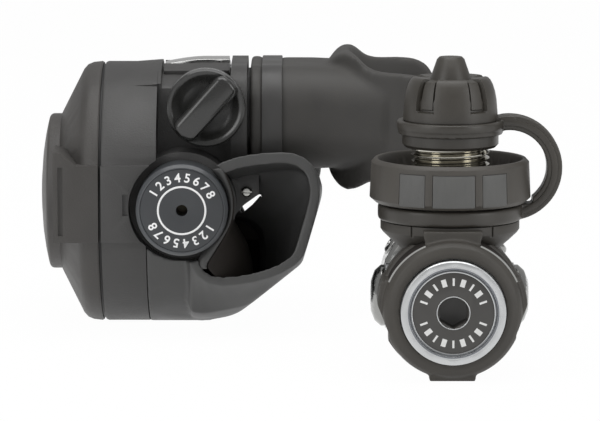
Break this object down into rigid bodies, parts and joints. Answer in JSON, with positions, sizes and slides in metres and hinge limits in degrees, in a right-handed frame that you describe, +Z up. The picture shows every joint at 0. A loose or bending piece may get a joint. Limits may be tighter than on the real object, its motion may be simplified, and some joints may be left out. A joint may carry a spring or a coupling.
{
  "type": "scuba regulator set",
  "caption": "Diving regulator set: demand valve with purge cover, side adjusting knob, exhaust tee and mouthpiece, and a piston first stage with handwheel inlet and dust cap.",
  "frame": {"origin": "middle of the set's footprint on the table", "axes": "+X from the purge cover to the mouthpiece, +Y away from the viewer, +Z up from the table"},
  "size_m": [0.1572, 0.1688, 0.0914],
  "materials": {
    "case_black": "fine matte moulding",
    "cover_grey": "matte moulding",
    "purge_black": "glossy",
    "knob_black": "glossy",
    "dial_print": "black with pale plain print",
    "tee_rubber": "matte",
    "mouth_rubber": "soft matte silicone",
    "clamp_black": "satin",
    "soft_seal": "soft",
    "clear_silicone": "soft",
    "bare_steel": "brushed",
    "chrome": "polished plating",
    "satin_chrome": "satin plating",
    "brass_inner": "machined",
    "black_metal": "black plating, satin",
    "spring_steel": "wire",
    "boot_rubber": "matte",
    "wheel_rubber": "matte",
    "inlay_grey": "flat grey",
    "cap_rubber": "matte",
    "seat_plastic": "plain"
  },
  "bodies": {
    "second_stage": {"second_stage_case": "case_black", "top_plate": "bare_steel", "front_cover": "cover_grey", "cover_seal": "soft_seal", "cover_lock_screw": "bare_steel", "purge_spring": "spring_steel", "diaphragm": "clear_silicone", "valve_barrel": "brass_inner", "poppet_spring": "spring_steel", "orifice": "brass_inner", "inlet_fitting": "chrome", "inlet_seal": "soft_seal", "exhaust_tee": "tee_rubber", "tee_screws": "bare_steel", "exhaust_valve": "clear_silicone", "mouthpiece": "mouth_rubber", "mouthpiece_clamp": "clamp_black"},
    "purge_button": {"purge_button": "purge_black"},
    "diaphragm_disc": {"diaphragm_disc": "bare_steel"},
    "demand_lever": {"demand_lever": "bare_steel"},
    "poppet": {"poppet": "brass_inner", "poppet_seat": "soft_seal"},
    "adjusting_knob": {"adjusting_knob": "knob_black", "adjusting_screw": "brass_inner", "knob_dial": "dial_print"},
    "airflow_control": {"airflow_knob": "knob_black", "airflow_vane": "case_black"},
    "first_stage": {"first_stage_body": "satin_chrome", "seat_plug": "black_metal", "seat_carrier": "brass_inner", "pressure_seat": "seat_plastic", "stem_bushing": "seat_plastic", "piston_spring": "spring_steel", "side_port_plugs": "chrome", "rubber_boot": "boot_rubber", "saddle_collar": "boot_rubber", "turret_bolt": "chrome", "din_retainer": "chrome", "din_filter": "brass_inner", "cap_strap": "cap_rubber"},
    "piston": {"piston": "bare_steel", "piston_seal": "soft_seal"},
    "swivel_turret": {"swivel_turret": "chrome", "lp_port_plugs": "chrome"},
    "handwheel": {"din_coupling": "chrome", "din_face_seal": "soft_seal", "din_handwheel": "wheel_rubber", "handwheel_inlays": "inlay_grey"},
    "dust_cap": {"dust_cap": "cap_rubber"}
  },
  "joints": [
    {"name": "purge_press", "type": "slide", "parent": "second_stage", "child": "purge_button", "axis": [1, 0, 0], "range_m": [0, 0.003], "stiffness_N_per_m": 800, "springref_m": -0.002, "deforming": ["purge_spring"]},
    {"name": "diaphragm_move", "type": "slide", "parent": "second_stage", "child": "diaphragm_disc", "axis": [1, 0, 0], "range_m": [0, 0.003], "deforming": ["diaphragm"]},
    {"name": "lever_swing", "type": "hinge", "parent": "second_stage", "child": "demand_lever", "pos_m": [-0.03358, 0.0416, 0.0403], "axis": [0, 0, 1], "range_deg": [0, 9.55]},
    {"name": "poppet_lift", "type": "slide", "parent": "second_stage", "child": "poppet", "axis": [0, -1, 0], "range_m": [0, 0.001], "deforming": ["poppet_spring"]},
    {"name": "knob_turn", "type": "hinge", "parent": "second_stage", "child": "adjusting_knob", "pos_m": [-0.03358, -0.0144, 0.0403], "axis": [0, -1, 0], "range_deg": [-720, 720]},
    {"name": "airflow_turn", "type": "hinge", "parent": "second_stage", "child": "airflow_control", "pos_m": [-0.02647, 0.0034, 0.0701], "axis": [0, -1, 0], "range_deg": [0, 90]},
    {"name": "first_stage_lift", "type": "slide", "parent": "second_stage", "child": "first_stage", "axis": [0, 0, 1], "range_m": [0, 0.1]},
    {"name": "piston_slide", "type": "slide", "parent": "first_stage", "child": "piston", "axis": [0, -1, 0], "range_m": [0, 0.0008], "stiffness_N_per_m": 5000, "springref_m": -0.002, "deforming": ["piston_spring"]},
    {"name": "turret_turn", "type": "hinge", "parent": "first_stage", "child": "swivel_turret", "pos_m": [0.04603, -0.0209, 0.0205], "axis": [0, 1, 0], "continuous": true},
    {"name": "handwheel_turn", "type": "hinge", "parent": "first_stage", "child": "handwheel", "pos_m": [0.04603, -0.0534, 0.0488], "axis": [0, 0, 1], "continuous": true},
    {"name": "cap_pull", "type": "slide", "parent": "first_stage", "child": "dust_cap", "axis": [0, 0, 1], "range_m": [0, 0.02], "deforming": ["cap_strap"]}
  ],
  "couplings": [
    {"joint": "diaphragm_move", "follows": "purge_press", "ratio": 1},
    {"joint": "lever_swing", "follows": "purge_press", "rad_per_m": 55.556},
    {"joint": "poppet_lift", "follows": "purge_press", "ratio": 0.33333}
  ]
}
